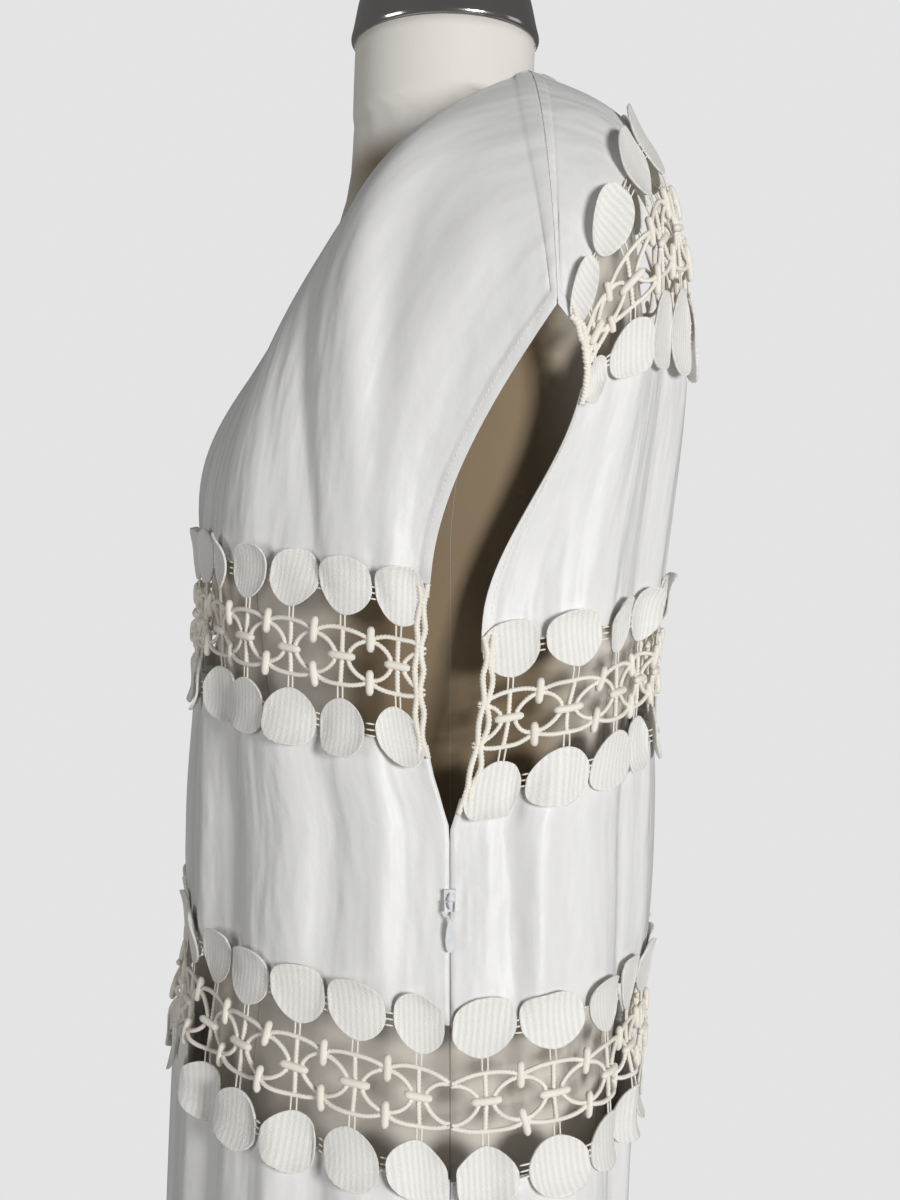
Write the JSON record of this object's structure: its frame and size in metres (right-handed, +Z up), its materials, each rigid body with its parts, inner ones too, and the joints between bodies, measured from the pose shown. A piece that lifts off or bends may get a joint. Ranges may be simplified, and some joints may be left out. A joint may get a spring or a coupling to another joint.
{
  "type": "sundress on dress form",
  "caption": "Pale sleeveless V-neck sundress with openwork bands, worn on a linen dress form with a round stand.",
  "frame": {"origin": "on the floor under the middle of the stand", "axes": "+Z up, -Y towards the front of the dress, +X towards the wearer's left"},
  "size_m": [0.4565, 0.38, 1.4913],
  "materials": {
    "cloth": "satin",
    "lace": "matte",
    "form_cover": "matte",
    "dark_steel": "polished",
    "white_enamel": "gloss"
  },
  "bodies": {
    "root": {"front_yoke": "cloth", "front_waist": "cloth", "front_skirt": "cloth", "back_yoke": "cloth", "back_panel": "cloth", "back_waist": "cloth", "back_skirt": "cloth", "front_bust_lace": "lace", "front_hip_lace": "lace", "back_yoke_lace": "lace", "back_bust_lace": "lace", "back_hip_lace": "lace", "zip_slider": "white_enamel", "form_body": "form_cover", "neck_cap": "dark_steel", "stand_base": "dark_steel", "stand_pole": "dark_steel"},
    "zip_tab": {"zip_pull": "white_enamel"}
  },
  "joints": [
    {"name": "zip_tab_swing", "type": "hinge", "parent": "root", "child": "zip_tab", "pos_m": [0.18338, 0, 0.95], "axis": [0, -1, 0], "range_deg": [0, 120]}
  ]
}
